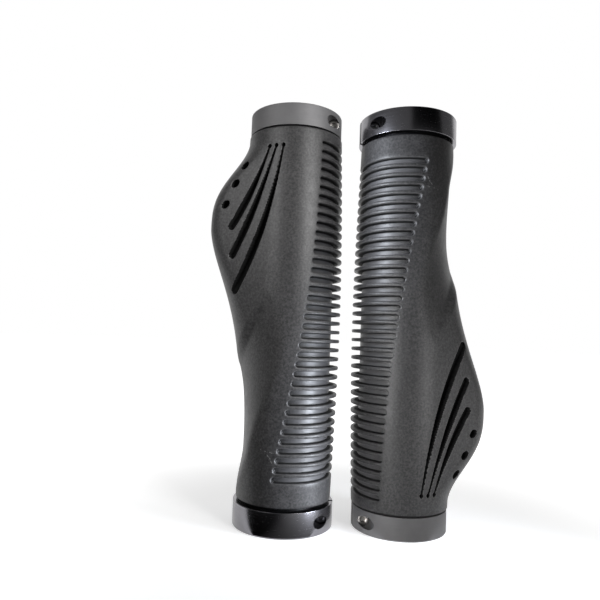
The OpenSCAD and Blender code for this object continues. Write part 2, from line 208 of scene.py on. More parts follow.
def slit_distance(p):
    """Signed distance from points (along the flat, above the wing's tip) to the slits, and
    the direction away from them."""
    best = np.full(len(p), 1e9)
    away = np.zeros((len(p), 2))
    t = np.linspace(0, 1, 161)
    for (a, b, c), full_w in zip(np.array(SLITS), SLIT_FULL_W):
        half = (SLIT_TOP_W + (full_w - SLIT_TOP_W) * smooth(t * SLIT_WIDENING)) / 2
        line = (1 - t)[:, None] ** 2 * a + (2 * t * (1 - t))[:, None] * b + t[:, None] ** 2 * c
        off = p[:, None, :] - line[None]
        dist = np.sqrt((off**2).sum(2)) - half
        dist[:, 0] = np.minimum(dist[:, 0], np.sqrt((off[:, 0] ** 2).sum(1)) - SLIT_HEAD_R)
        k = dist.argmin(1)
        got = dist[np.arange(len(p)), k]
        v = off[np.arange(len(p)), k]
        v = v / np.maximum(1e-9, np.linalg.norm(v, axis=1))[:, None]
        closer = got < best
        best = np.where(closer, got, best)
        away[closer] = v[closer]
    return best, away


def snapped(d, cell):
    """Moves distances that are within a cell of a wall onto its top or its foot."""
    near = np.abs(d - MID_WALL) < cell
    return np.where(near, np.where(d > MID_WALL, WALL_OUT, WALL_IN), d)


def sleeve_mesh():
    """The rubber sleeve upright on its own axis, wing towards -X, in metres."""
    z_fine, z_even, coarse = (np.array(v) for v in zip(*rows()))
    mm_angle = 1 / END_R
    end = groove_end(z_even)
    b0, b1 = end - ENDS_BEFORE * mm_angle, end + ENDS_AFTER * mm_angle
    # where the even part of the wing's side starts
    start_a = np.minimum(SIDE_FIRST, math.pi - b1 - SIDE_GAP)
    table_a = np.linspace(0, math.radians(120), 700)
    side = []
    for j, z in enumerate(z_even):
        along = section_r(z, table_a) * np.sin(SLIT_DIR - table_a)
        first, last = np.interp([start_a[j], SIDE_LAST], table_a, along)
        want = np.linspace(first, last, COLUMNS["d"] + 1)[1:]
        side.append(math.pi - np.interp(-want, -along, table_a))
    to_wing = np.linspace(0, 1, COLUMNS["c"] + 1)[1:]
    parts = {
        "a": [b0 * s for s in np.linspace(0, 1, COLUMNS["a"], endpoint=False)],
        "b": [b0 + (b1 - b0) * s for s in np.linspace(0, 1, COLUMNS["b"] + 1)],
        "c": [b1 + (math.pi - start_a - b1) * s for s in to_wing],
        "d": np.array(side).T,
        "e": [math.pi - SIDE_LAST * s * np.ones(len(z_even))
              for s in np.linspace(1, 0, COLUMNS["e"] + 1)[1:]],
    }
    zones = np.array([zone for zone, part in parts.items() for _ in part])
    phi = np.concatenate([np.array(part) for part in parts.values()])  # columns x rows
    # rows swing from the grooves' spacing to even spacing across zone c
    blend = np.isin(zones, list("cde")).astype(float)
    blend[zones == "c"] = smooth(to_wing * 1.6)
    z = z_fine * (1 - blend[:, None]) + z_even * blend[:, None]
    pit, groove, line = (np.zeros(z.shape) for _ in range(3))

    # grooves, cut towards the axis
    near_groove = np.isin(zones, list("abc"))[:, None] & np.ones(z.shape, bool)
    i = np.clip(np.round((z - GROOVE_Z) / PITCH), 0, GROOVES - 1)
    zc = GROOVE_Z + i * PITCH
    turn = groove_end(zc) - math.asin(HALF_W / END_R)
    u, v = (phi - turn) * END_R, z - zc
    gap = np.where(u > 0, np.hypot(u, v), np.abs(v))
    d = gap - HALF_W
    in_ends = (zones == "b")[:, None] & (u > -0.3)
    shift = np.where(in_ends, np.clip(snapped(d, SNAP_GROOVE) - d, -0.12, 0.12), 0)
    ux, vx = np.where(u > 0, u / np.maximum(gap, 1e-9), 0), v / np.maximum(gap, 1e-9)
    phi = phi + shift * ux * mm_angle
    z = z + shift * np.where(u > 0, vx, np.sign(v))
    a = math.pi - phi
    r = section_r(z, a)
    d = d + shift
    inside = near_groove & (d < MID_WALL)
    outside = near_groove & ~inside
    r = np.where(inside, np.minimum(r, GROOVE_FLOOR), r)
    drop = np.where(outside, rim_drop(d, RIM), 0)
    r = np.maximum(r - drop, np.minimum(r, GROOVE_FLOOR + 0.2))
    # painted light: groove floors are marked for a painted lift, which fades towards each end and
    # leaves painted shade there
    groove[inside] = np.clip(-u / GROOVE_SHADE, 0.1, 1)[inside]
    # painted shade: a dark line along the foot of each groove's wall
    line[near_groove & (np.abs(d - WALL_IN) < 0.05)] = 1
    # rims beside the grooves; the material paints a pale highlight on them
    rim = np.where(outside, np.clip(1 - d / RIM, 0, 1), 0)
    r = r - end_inset(z)
    # painted shade: a dark line round the sleeve's ends, next to the rings
    line[np.minimum(z - SLEEVE_Z0, SLEEVE_Z1 - z) < 0.1] = 1
    x, y = -r * np.cos(a), -r * np.sin(a)

    # slits, cut square to the plane that they are drawn in
    n2 = np.array([-math.cos(SLIT_DIR), -math.sin(SLIT_DIR)])  # outward
    t2 = np.array([-math.sin(SLIT_DIR), math.cos(SLIT_DIR)])  # towards the wing's tip
    by_slits = (z > WING_Z - SLITS_BELOW) & (z < WING_Z + SLITS_ABOVE)
    at = np.nonzero(np.isin(zones, list("cde"))[:, None] & by_slits)
    p = np.stack([x[at] * t2[0] + y[at] * t2[1], z[at] - WING_Z], 1)
    d, away = slit_distance(p)
    d_new = snapped(d, SNAP_SLIT)
    move = (d_new - d)[:, None] * away
    p, d = p + move, d_new
    # the surface under the moved point, by the slope of the section there
    new_z = p[:, 1] + WING_Z
    a_new = a[at]
    for _ in range(4):
        r_at = section_r(new_z, a_new)
        px, py = -r_at * np.cos(a_new), -r_at * np.sin(a_new)
        err = p[:, 0] - (px * t2[0] + py * t2[1])
        slope = (section_r(new_z, a_new - 1e-4) * np.sin(SLIT_DIR - a_new + 1e-4)
                 - r_at * np.sin(SLIT_DIR - a_new)) / 1e-4
        a_new = a_new - np.where(np.abs(slope) > 1, err / slope, 0)
    moved = np.abs(move).max(1) > 0
    a_at = np.where(moved, a_new, a[at])
    z_at = np.where(moved, new_z, z[at])
    r_at = section_r(z_at, a_at) - end_inset(z_at)
    px, py = -r_at * np.cos(a_at), -r_at * np.sin(a_at)
    height = px * n2[0] + py * n2[1]
    inside = d < MID_WALL
    to_floor = np.maximum(0, height - SLIT_FLOOR)
    sink = np.where(inside, to_floor, np.minimum(rim_drop(d, LIP_ROUND), to_floor))
    # only where zone c has no groove of its own
    keep = ((d < RIM) | moved) & (groove[at] == 0)
    x[at] = np.where(keep, px - sink * n2[0], x[at])
    y[at] = np.where(keep, py - sink * n2[1], y[at])
    z[at] = np.where(keep, z_at, z[at])
    pit[at] = np.where(inside & keep, 1, pit[at])
    rim[at] = np.where(keep & ~inside, np.maximum(rim[at], np.clip(1 - d / RIM, 0, 1)), rim[at])

    # dots, cut along the way that each faces
    for where, up, facing in DOTS:
        zc = WING_Z + up
        aw, f = math.radians(where), math.radians(facing)
        rc = float(section_r(np.array(zc), np.array(aw)))
        centre = np.array([-rc * math.cos(aw), -rc * math.sin(aw), zc])
        out = np.array([-math.cos(f), -math.sin(f), 0.0])
        to_tip = np.array([-math.sin(f), math.cos(f), 0.0])
        long_way = np.array([0, 0, math.cos(DOT_LEAN)]) - math.sin(DOT_LEAN) * to_tip
        short_way = np.cross(out, long_way)
        pts = np.stack([x, y, z], 2)
        off = pts - centre
        depth = off @ out
        # signed distance from the oval, to first order
        u, v = off @ long_way / (DOT_L / 2), off @ short_way / (DOT_W / 2)
        slope = (u / (DOT_L / 2))[..., None] * long_way + (v / (DOT_W / 2))[..., None] * short_way
        steep = np.maximum(np.linalg.norm(slope, axis=2), 1e-9)
        d = np.hypot(u, v) * (np.hypot(u, v) - 1) / steep
        close = (d < 0.6) & (depth > -6) & (y < 0)
        d_new = np.where(close, snapped(d, SNAP_DOT), d)
        unit = slope / steep[..., None]
        pts = np.where(close[..., None], pts + (d_new - d)[..., None] * unit, pts)
        inside = close & (d_new < MID_WALL)
        depth = (pts - centre) @ out
        lip = np.where(close, rim_drop(d_new, LIP_ROUND), 0)
        sink = np.where(inside, depth + DOT_DEPTH, lip)
        pts = pts - np.maximum(sink, 0)[..., None] * out
        x, y, z = pts[..., 0], pts[..., 1], pts[..., 2]
        pit[inside] = 1
        rim = np.where(close & ~inside, np.maximum(rim, np.clip(1 - d_new / RIM, 0, 1)), rim)

    # both halves round: the front as made, the back its mirror
    y[0], y[-1] = 0, 0
    front = np.stack([x, y, z], 2)
    back = front[1:-1][::-1] * np.array([1, -1, 1])
    full = np.concatenate([front, back])
    zones = np.concatenate([zones, zones[1:-1][::-1]])[:, None]
    marks = [np.concatenate([m, m[1:-1][::-1]]) for m in (pit, groove, rim, line)]
    n_cols = len(full)

    # rows in use at each column
    in_slits = (z_even > WING_Z - SLITS_BELOW + 0.5) & (z_even < WING_Z + SLITS_ABOVE - 1)
    use = np.isin(zones, list("ab")) | coarse | ((zones == "d") & in_slits)
    number = np.cumsum(use).reshape(use.shape) - 1
    verts = full[use].tolist()
    faces = []
    for c in range(n_cols):
        e = (c + 1) % n_cols
        both = np.nonzero(use[c] & use[e])[0]
        for j0, j1 in zip(both[:-1], both[1:]):
            near, far = ([number[k, j] for j in range(j0, j1 + 1) if use[k, j]] for k in (c, e))
            faces.append(near[::-1] + far)
    # ends and bore
    around = np.arctan2(full[:, 0, 1], full[:, 0, 0])
    rings = []
    for z_, r_ in ((SLEEVE_Z0, BORE_EDGE), (SLEEVE_Z0 + BORE_EDGE, 0),
                   (SLEEVE_Z1 - BORE_EDGE, 0), (SLEEVE_Z1, BORE_EDGE)):
        rings.append(range(len(verts), len(verts) + n_cols))
        r_ += SLEEVE_IN_R
        verts += [(r_ * math.cos(w), r_ * math.sin(w), z_) for w in around]
    for low, high in ((rings[0], number[:, 0]), (number[:, -1], rings[3]),
                      *zip(rings[1:], rings[:-1])):
        for c in range(n_cols):
            e = (c + 1) % n_cols
            faces.append([low[e], high[e], high[c], low[c]])
    mesh = bpy.data.meshes.new("grip_rubber")
    mesh.from_pydata([[q * MM for q in v] for v in verts], [], faces)
    for name, mark in zip(("pit", "groove", "rim", "line"), marks):
        values = np.append(mark[use], np.zeros(4 * n_cols)).astype(np.float32)
        mesh.attributes.new(name, "FLOAT", "POINT").data.foreach_set("value", values)
    mesh.validate()
    mesh.update()
    return mesh


# ---- Shapes of rings, bolts and cores ------------------------------------------------------


def linked(name, data):
    obj = bpy.data.objects.new(name, data)
    bpy.context.scene.collection.objects.link(obj)
    return obj


def mesh_of(bm, name):
    mesh = bpy.data.meshes.new(name)
    bm.to_mesh(mesh)
    bm.free()
    return mesh


def rounded(corners, steps=5):
    """A closed outline from (radius, height, fillet) corners."""
    out = []
    for i, (x, z, f) in enumerate(corners):
        p = Vector((x, z))
        before = (Vector(corners[i - 1][:2]) - p).normalized()
        after = (Vector(corners[(i + 1) % len(corners)][:2]) - p).normalized()
        half = before.angle(after) / 2
        middle = p + (before + after).normalized() * f / math.sin(half)
        start = p + before * f / math.tan(half) - middle
        end = p + after * f / math.tan(half) - middle
        for k in range(steps + 1):
            out.append(tuple(middle + start.slerp(end, k / steps) * f))  # slerp gives length 1
    return out


def turned(outline, steps, to_axis=False):
    """A bmesh turned about Z from (radius, height) points, to the axis or as a ring."""
    bm = bmesh.new()
    loops = []
    for k in range(steps):
        w = math.tau * k / steps
        loops.append([bm.verts.new((r * math.cos(w), r * math.sin(w), z)) for r, z in outline])
    n = len(outline)
    for k in range(steps):
        one, two = loops[k], loops[(k + 1) % steps]
        for i in range(n - 1 if to_axis else n):
            bm.faces.new((one[i], two[i], two[(i + 1) % n], one[(i + 1) % n]))
    bmesh.ops.remove_doubles(bm, verts=bm.verts, dist=1e-5)
    bmesh.ops.dissolve_degenerate(bm, edges=bm.edges, dist=1e-6)
    bmesh.ops.recalc_face_normals(bm, faces=bm.faces)
    return bm


def slab(r0, r1, a0, a1, z0, z1, steps=10):
    """A closed piece of a thick tube, from angle a0 to a1."""
    bm = bmesh.new()
    loops = []
    for k in range(steps + 1):
        w = a0 + (a1 - a0) * k / steps
        loops.append([bm.verts.new((r * math.cos(w), r * math.sin(w), z))
                      for r, z in ((r0, z0), (r1, z0), (r1, z1), (r0, z1))])
    for one, two in zip(loops[:-1], loops[1:]):
        for i in range(4):
            bm.faces.new((one[i], two[i], two[(i + 1) % 4], one[(i + 1) % 4]))
    bm.faces.new(loops[0])
    bm.faces.new(loops[-1][::-1])
    bmesh.ops.recalc_face_normals(bm, faces=bm.faces)
    return bm


def cut(bm, cutters, name):
    """The mesh of a shape with the cutters taken out of it, in metres."""
    body = linked(name, mesh_of(bm, name))
    tools = [linked("cutter", mesh_of(c, "cutter")) for c in cutters]
    for tool in tools:
        step = body.modifiers.new("cut", "BOOLEAN")
        step.operation, step.solver, step.object = "DIFFERENCE", "EXACT", tool
    graph = bpy.context.evaluated_depsgraph_get()
    mesh = bpy.data.meshes.new_from_object(body.evaluated_get(graph))
    mesh.name = name
    for obj in [body, *tools]:
        old = obj.data
        bpy.data.objects.remove(obj)
        bpy.data.meshes.remove(old)
    mesh.transform(Matrix.Scale(MM, 4))
    return mesh


def bolt_place(h):
    """Where a bolt lies in a ring of height h, Z out of its head."""
    return (Matrix.Rotation(-BOLT_PLACE, 4, "Z")
            @ Matrix.Translation((BOLT_OFFSET, 0, h / 2)) @ Matrix.Rotation(math.pi / 2, 4, "X"))


def ring_mesh(d, h, name):
    """A split lock ring with its sleeve side at z = 0."""
    r = d / 2
    ring = turned(rounded([(RING_IN_R, 0, 0.12), (r, 0, RING_EDGE), (r, h, RING_ROUND),
                           (RING_IN_R, h, 0.3)]), 160)
    turn = Matrix.Rotation(-BOLT_PLACE, 4, "Z")
    slot = bmesh.new()
    bmesh.ops.create_cube(slot, size=1, matrix=turn @ Matrix.Translation((d / 2, 0, h / 2))
                          @ Matrix.Diagonal((d, SPLIT_W, h + 2, 1)))
    cutters = [slot]
    half = TAB_ANGLE / 2 + math.atan(TAB_CLEAR / CORE_OUT_R)
    for place in TAB_PLACES:
        cutters.append(slab(RING_IN_R - 1, CORE_OUT_R + TAB_CLEAR, place - half, place + half,
                            -1, TAB_LEN - SEAT_GAP + TAB_CLEAR))
    hole = turned([(0, -d), (BOLT_R + BOLT_CLEAR, -d), (BOLT_R + BOLT_CLEAR, BOLT_SEAT),
                   (HEAD_R + HEAD_CLEAR, BOLT_SEAT), (HEAD_R + HEAD_CLEAR, d), (0, d)], 48, True)
    bmesh.ops.transform(hole, matrix=bolt_place(h), verts=hole.verts)
    cutters.append(hole)
    return cut(ring, cutters, name)


def bolt_mesh(name):
    """A socket head screw with its axis on Z, from its knurled head down to its thread."""
    z0 = BOLT_SEAT + SEAT_GAP
    z1 = z0 + HEAD_H
    steps = 72
    thread_top, tip = z0 - 1.2, z0 - BOLT_LEN
    rows_ = [(0, tip, 0, 0), (0.8, tip, 0, 0)]
    n = int((thread_top - tip - 0.3) / THREAD_PITCH * 8)
    for k in range(n + 1):
        rows_.append((BOLT_R, tip + 0.3 + (thread_top - tip - 0.3) * k / n, 1, 0))
    rows_ += [(BOLT_R, thread_top + 0.1, 0, 0), (BOLT_R, z0, 0, 0), (HEAD_R - 0.08, z0, 0, 0),
              (HEAD_R, z0 + 0.08, 0, 0), (HEAD_R, z0 + 0.2, 0, 0), (HEAD_R, z0 + 0.25, 0, 1),
              (HEAD_R, z1 - 0.5, 0, 1), (HEAD_R, z1 - 0.42, 0, 0)]
    for k in range(7):
        w = math.pi / 2 * k / 6
        rows_.append((HEAD_R - 0.3 + 0.3 * math.cos(w), z1 - 0.3 + 0.3 * math.sin(w), 0, 0))
    rows_.append((0, z1, 0, 0))
    bm = bmesh.new()
    loops = []
    for s_ in range(steps):
        w = math.tau * s_ / steps
        loop = []
        for i, (r, z, threaded, knurled) in enumerate(rows_):
            if threaded:
                turn = (z / THREAD_PITCH - s_ / steps) % 1
                r -= THREAD_DEPTH * (1 - abs(2 * turn - 1))
                r = min(r, 0.95 + (z - tip) * 1.0)
            if knurled and s_ % 3 == 0:
                r -= 0.05
            loop.append(bm.verts.new((r * math.cos(w), r * math.sin(w), z)))
        loops.append(loop)
    for s_ in range(steps):
        one, two = loops[s_], loops[(s_ + 1) % steps]
        for i in range(len(rows_) - 1):
            bm.faces.new((one[i], two[i], two[i + 1], one[i + 1]))
    bmesh.ops.remove_doubles(bm, verts=bm.verts, dist=1e-5)
    bmesh.ops.recalc_face_normals(bm, faces=bm.faces)
    hexagon = SOCKET_AF / 2 / math.cos(math.pi / 6)
    socket = turned([(0, z1 - SOCKET_DEPTH - 0.3), (hexagon, z1 - SOCKET_DEPTH), (hexagon, z1 + 1),
                     (0, z1 + 1)], 6, True)
    flare = turned([(0, z1 - 0.9), (hexagon + 0.15, z1 + 0.1), (0, z1 + 0.1)], 48, True)
    return cut(bm, [socket, flare], name)


def core_mesh(name):
    """The hard tube under the rubber, with four tabs at each end."""
    low, high = CORE_Z0 - TAB_LEN, CORE_Z1 + TAB_LEN
    tube = turned(rounded([(CORE_IN_R, low, 0.2), (CORE_OUT_R, low, 0.2), (CORE_OUT_R, high, 0.2),
                           (CORE_IN_R, high, 0.2)], 3), 144)
    cutters = []
    for i, place in enumerate(TAB_PLACES):
        following = TAB_PLACES[i + 1] if i < 3 else TAB_PLACES[0] + math.tau
        for z0, z1 in ((low - 1, CORE_Z0), (CORE_Z1, high + 1)):
            cutters.append(slab(CORE_IN_R - 1, CORE_OUT_R + 1, place + TAB_ANGLE / 2,
                                following - TAB_ANGLE / 2, z0, z1, 24))
    return cut(tube, cutters, name)


# ---- Camera -------------------------------------------------------------------------------

W = H = 600
L = max(W, H)
CAMERA_AT = (-18.74, -185.9, 61.68)  # millimetres
CAMERA_YAW, CAMERA_PITCH, CAMERA_ROLL = (math.radians(v) for v in (0.88, 3.67, 2.10))
CAMERA_LENS, CAMERA_SENSOR = 32.94, 36.0
SHIFT_X = SHIFT_Y = 0.0

ahead = Vector((
    math.sin(CAMERA_YAW) * math.cos(CAMERA_PITCH),
    math.cos(CAMERA_YAW) * math.cos(CAMERA_PITCH),
    math.sin(CAMERA_PITCH),
))
level = Vector((math.cos(CAMERA_YAW), -math.sin(CAMERA_YAW), 0))
above = level.cross(ahead)
right = level * math.cos(CAMERA_ROLL) + above * math.sin(CAMERA_ROLL)
up = above * math.cos(CAMERA_ROLL) - level * math.sin(CAMERA_ROLL)
camera_data = bpy.data.cameras.new("camera")
camera_data.sensor_fit = "AUTO"
camera_data.sensor_width = CAMERA_SENSOR
camera_data.lens = CAMERA_LENS
camera_data.shift_x, camera_data.shift_y = SHIFT_X, SHIFT_Y
camera_data.clip_start, camera_data.clip_end = 0.01, 20
camera = linked("camera", camera_data)
axes = Matrix((right, up, -ahead)).transposed().to_4x4()
camera.matrix_world = Matrix.Translation(Vector(CAMERA_AT) * MM) @ axes
bpy.context.scene.camera = camera


def ray(x, y):
    """Start and direction of the ray through an image point."""
    way = Vector((x - W / 2 + SHIFT_X * L, H / 2 - y + SHIFT_Y * L,
                  -L * CAMERA_LENS / CAMERA_SENSOR))
    return camera.matrix_world.translation, (camera.matrix_world.to_3x3() @ way).normalized()


def seen_at(point):
    """Image point of a place in the row frame, by the same rule."""
    p = camera.matrix_world.inverted() @ Vector(point)
    f = L * CAMERA_LENS / CAMERA_SENSOR
    return (
        W / 2 - SHIFT_X * L + f * p.x / -p.z,
        H / 2 + SHIFT_Y * L - f * p.y / -p.z,
    )


# ---- Places on surfaces in view -----------------------------------------------------------

LEFT_AT = Matrix.Translation((GRIP_X * MM, 0, 0))
RIGHT_AT = Matrix.Translation((-GRIP_X * MM, 0, GRIP_LEN * MM)) @ Matrix.Rotation(math.pi, 4, "Y")


def tree_of(mesh, place):
    """A tree to meet a finished mesh with rays, where it is placed."""
    return BVHTree.FromPolygons([place @ v.co for v in mesh.vertices],
                                [tuple(p.vertices) for p in mesh.polygons])


def placed(x, y, tree):
    """The place on a surface that an image point shows, or the place nearest to its ray."""
    start, way = ray(x, y)
    hit = tree.ray_cast(start, way)[0]
    if hit is not None:
        return hit
    near = tree.find_nearest(start)[0]
    for _ in range(30):
        near = tree.find_nearest(start + way * (near - start).dot(way))[0]
    return near


rubber = sleeve_mesh()
left_rubber_tree = tree_of(rubber, LEFT_AT)
# Pale scratches on the left grip, from image point to image point; the right grip has the
# same ones, as it is the same piece turned end for end
SCRATCHES = [((260.0, 449.0), (267.5, 455.6)), ((267.5, 455.6), (271.9, 463.1)),
             ((265.0, 451.2), (273.7, 453.7))]
scratch_lines = []
for ends in SCRATCHES:
    a, b = (LEFT_AT.inverted() @ placed(*p, left_rubber_tree) / MM for p in ends)
    scratch_lines.append((a, b))

# ---- Materials ----------------------------------------------------------------------------


def new_material(name):
    mat = bpy.data.materials.new(name)
    mat.use_nodes = True
    return mat


class Nodes:
    """Short words for building the nodes of a material or the world."""

    def __init__(self, tree):
        self.tree = tree
        tree.nodes.clear()

    def add(self, kind):
        return self.tree.nodes.new("ShaderNode" + kind)

    def link(self, a, b):
        self.tree.links.new(a, b)

    def put(self, value, socket):
        if isinstance(value, bpy.types.NodeSocket):
            self.link(value, socket)
        else:
            socket.default_value = value

    def object_place(self):
        return self.add("TexCoord").outputs["Object"]

    def math(self, op, a, b=0.0, clamp=False):
        n = self.add("Math")
        n.operation, n.use_clamp = op, clamp
        self.put(a, n.inputs[0])
        self.put(b, n.inputs[1])
        return n.outputs[0]

    def vector(self, op, a, b=None, scale=None):
        n = self.add("VectorMath")
        n.operation = op
        self.put(a, n.inputs[0])
        if b is not None:
            self.put(b, n.inputs[1])
        if scale is not None:
            self.put(scale, n.inputs["Scale"])
        return n.outputs["Value" if op in ("DOT_PRODUCT", "LENGTH") else "Vector"]

    def ramp(self, value, low, high, to_low=0.0, to_high=1.0, way="LINEAR"):
        n = self.add("MapRange")
        n.clamp, n.interpolation_type = True, way
        for name, v in (("From Min", low), ("From Max", high),
                        ("To Min", to_low), ("To Max", to_high)):
            n.inputs[name].default_value = v
        self.put(value, n.inputs["Value"])
        return n.outputs[0]

    def background_rays(self):
        """1 for the rays that show the background, by sight, in gloss or through glass."""
        path = self.add("LightPath").outputs
        seen = self.math("MAXIMUM", path["Is Camera Ray"], path["Is Glossy Ray"])
        return self.math("MAXIMUM", seen, path["Is Transmission Ray"])


class Surface(Nodes):
    """A material, worked out in millimetres of the object's own frame."""

    def __init__(self, name):
        self.mat = new_material(name)
        super().__init__(self.mat.node_tree)
        self.shader = self.add("BsdfPrincipled")
        self.link(self.shader.outputs[0], self.add("OutputMaterial").inputs[0])
        self.at = self.vector("SCALE", self.object_place(), scale=1 / MM)

    def noise(self, scale, detail=3.0, rough=0.55, at=None, out="Fac"):
        n = self.add("TexNoise")
        self.link(at or self.at, n.inputs["Vector"])
        for name, value in (("Scale", scale), ("Detail", detail), ("Roughness", rough)):
            n.inputs[name].default_value = value
        return n.outputs[out]

    def cells(self, scale):
        n = self.add("TexVoronoi")
        self.link(self.at, n.inputs["Vector"])
        n.inputs["Scale"].default_value = scale
        return n.outputs["Distance"], n.outputs["Color"]

    def mix(self, share, a, b):
        n = self.add("Mix")
        n.data_type = "RGBA"
        self.put(share, n.inputs[0])
        for value, socket in ((a, n.inputs[6]), (b, n.inputs[7])):
            self.put(value if isinstance(value, bpy.types.NodeSocket) else (*value, 1.0), socket)
        return n.outputs[2]

    def mark(self, name):
        n = self.add("Attribute")
        n.attribute_name = name
        return n.outputs["Fac"]

    def from_line(self, a, b, at):
        """Distance in millimetres from the line between two places."""
        way = b - a
        along = self.vector("SUBTRACT", at, tuple(a))
        share = self.math("MULTIPLY", self.vector("DOT_PRODUCT", along, tuple(way)),
                          1 / way.length_squared, clamp=True)
        on_line = self.vector("SCALE", tuple(way), scale=share)
        return self.vector("LENGTH", self.vector("SUBTRACT", along, on_line))

    def bump(self, height, strength, distance, under=None):
        n = self.add("Bump")
        n.inputs["Strength"].default_value = strength
        n.inputs["Distance"].default_value = distance * MM
        self.link(height, n.inputs["Height"])
        if under is not None:
            self.link(under, n.inputs["Normal"])
        return n.outputs[0]

    def finish(self, colour, rough, normal, metallic=0.0):
        self.put(colour, self.shader.inputs["Base Color"])
        self.put(rough, self.shader.inputs["Roughness"])
        self.link(normal, self.shader.inputs["Normal"])
        self.shader.inputs["Metallic"].default_value = metallic
        return self.mat


def rubber_material():
    m = Surface("moulded_rubber")
    cloudy = m.noise(0.06, 4.0)
    patch = m.noise(0.35, 5.0, 0.6)
    grain = m.noise(5.0, 3.0, 0.6)
    pores = m.noise(1.5, 3.0, 0.65)
    colour = m.mix(m.ramp(cloudy, 0.35, 0.65), (0.031, 0.030, 0.031), (0.040, 0.039, 0.040))
    colour = m.mix(m.ramp(patch, 0.45, 0.8, 0, 0.35), colour, (0.054, 0.053, 0.053))
    colour = m.mix(m.ramp(grain, 0.4, 0.75, 0, 0.5), colour, (0.060, 0.059, 0.059))
    colour = m.mix(m.ramp(pores, 0.5, 0.70, 0, 0.75), colour, (0.080, 0.078, 0.078))
    colour = m.mix(m.ramp(pores, 0.5, 0.30, 0, 0.75), colour, (0.008, 0.008, 0.008))
    # groove floors are glossier and painted paler, a painted lift for the light that their walls
    # keep out, fading to painted shade at their ends
    # painted highlight: the rims of grooves, slits and dots are painted paler in broken patches
    painted_rim_highlight = m.math("MULTIPLY", m.mark("rim"), m.ramp(m.noise(0.5, 4.0), 0.3, 0.65, 0.35, 1.0))
    colour = m.mix(m.mark("groove"), colour, (0.082, 0.081, 0.084))
    colour = m.mix(m.math("MULTIPLY", painted_rim_highlight, 0.6), colour, (0.17, 0.168, 0.168))
    # painted shade: a dark line along the foot of the groove walls and round the sleeve's ends
    colour = m.mix(m.ramp(m.mark("line"), 0.05, 0.5, 0, 0.95), colour, (0.0015, 0.0015, 0.0015))
    # painted shade: the insides of the slits and dots are painted near black
    hollow = m.ramp(m.mark("pit"), 0.0, 0.04)
    colour = m.mix(hollow, colour, (0.0012, 0.0012, 0.0012))
    # sparse pale specks of dust
    far, tint = m.cells(0.28)
    chance = m.add("SeparateColor")
    m.link(tint, chance.inputs[0])
    small = m.ramp(far, 0.03, 0.06, 1, 0)
    speck = m.math("MULTIPLY", small, m.math("GREATER_THAN", chance.outputs[0], 0.93))
    colour = m.mix(m.math("MULTIPLY", speck, 0.5), colour, (0.45, 0.44, 0.43))
    # thin pale scratches, broken up by the grain
    wander = m.vector("SUBTRACT", m.noise(0.9, 2.0, 0.5, out="Color"), (0.5, 0.5, 0.5))
    ragged = m.vector("ADD", m.at, m.vector("SCALE", wander, scale=0.9))
    for a, b in scratch_lines:
        scratch = m.ramp(m.from_line(a, b, ragged), 0.05, 0.16, 1, 0)
        scratch = m.math("MULTIPLY", scratch, m.ramp(pores, 0.42, 0.56, 0, 0.8))
        colour = m.mix(scratch, colour, (0.30, 0.295, 0.29))
    rough = m.ramp(patch, 0.3, 0.75, 0.40, 0.50)
    rough = m.math("SUBTRACT", rough, m.math("MULTIPLY", m.mark("groove"), 0.02))
    rough = m.math("MAXIMUM", rough, hollow)
    rough = m.math("MAXIMUM", rough, m.ramp(m.mark("line"), 0.05, 0.5, 0, 0.8))
    normal = m.bump(grain, 0.3, 0.03)
    normal = m.bump(pores, 0.35, 0.06, normal)
    return m.finish(colour, rough, normal)


def ring_material(name, dark, pale, rough_low, rough_high, tint):
    """Turned and anodised aluminium: fine lines round the axis, a few scuffs."""
    m = Surface(name)
    lines = m.noise(1.0, 4.0, 0.7, m.vector("MULTIPLY", m.at, (0.06, 0.06, 9.0)))
    cloudy = m.noise(0.15, 3.0)
    colour = m.mix(m.ramp(cloudy, 0.3, 0.7), dark, pale)
    along = m.vector("MULTIPLY", m.at, (1.0, 1.0, 2.5))
    scuff = m.ramp(m.noise(0.8, 6.0, 0.7, along), 0.62, 0.74, 0, 0.5)
    colour = m.mix(scuff, colour, tint)
    rough = m.ramp(lines, 0.3, 0.7, rough_low, rough_high)
    rough = m.math("ADD", rough, m.math("MULTIPLY", scuff, 0.12))
    normal = m.bump(lines, 0.12, 0.01)
    return m.finish(colour, rough, normal, 1.0)


def bolt_material(name, dark, pale, rough):
    m = Surface(name)
    wear = m.ramp(m.noise(2.2, 5.0, 0.65), 0.4, 0.7)
    colour = m.mix(wear, dark, pale)
    r = m.ramp(m.noise(4.0, 3.0), 0.3, 0.7, rough - 0.06, rough + 0.1)
    return m.finish(colour, r, m.bump(m.noise(6.0, 3.0), 0.2, 0.01), 1.0)


def core_material():
    m = Surface("core_nylon")
    cloudy = m.ramp(m.noise(0.4, 4.0), 0.35, 0.7)
    colour = m.mix(cloudy, (0.010, 0.010, 0.010), (0.018, 0.018, 0.018))
    grain = m.noise(4.0, 3.0)
    rough = m.ramp(grain, 0.3, 0.7, 0.42, 0.58)
    return m.finish(colour, rough, m.bump(grain, 0.2, 0.02))


MATERIALS = {
    "rubber": rubber_material(),
    "core_plastic": core_material(),
    "outer_ring_metal": ring_material(
        "satin_grey_ring", (0.205, 0.203, 0.206), (0.240, 0.237, 0.240), 0.64, 0.74,
        (0.30, 0.298, 0.30)),
    "inner_ring_metal": ring_material(
        "polished_black_ring", (0.21, 0.205, 0.22), (0.26, 0.255, 0.27), 0.20, 0.28,
        (0.30, 0.30, 0.31)),
    "outer_bolt_steel": bolt_material("plain_steel", (0.42, 0.40, 0.38), (0.58, 0.56, 0.54), 0.3),
    "inner_bolt_steel": bolt_material(
        "black_steel", (0.10, 0.10, 0.102), (0.19, 0.188, 0.19), 0.32),
}

# ---- Pieces -------------------------------------------------------------------------------


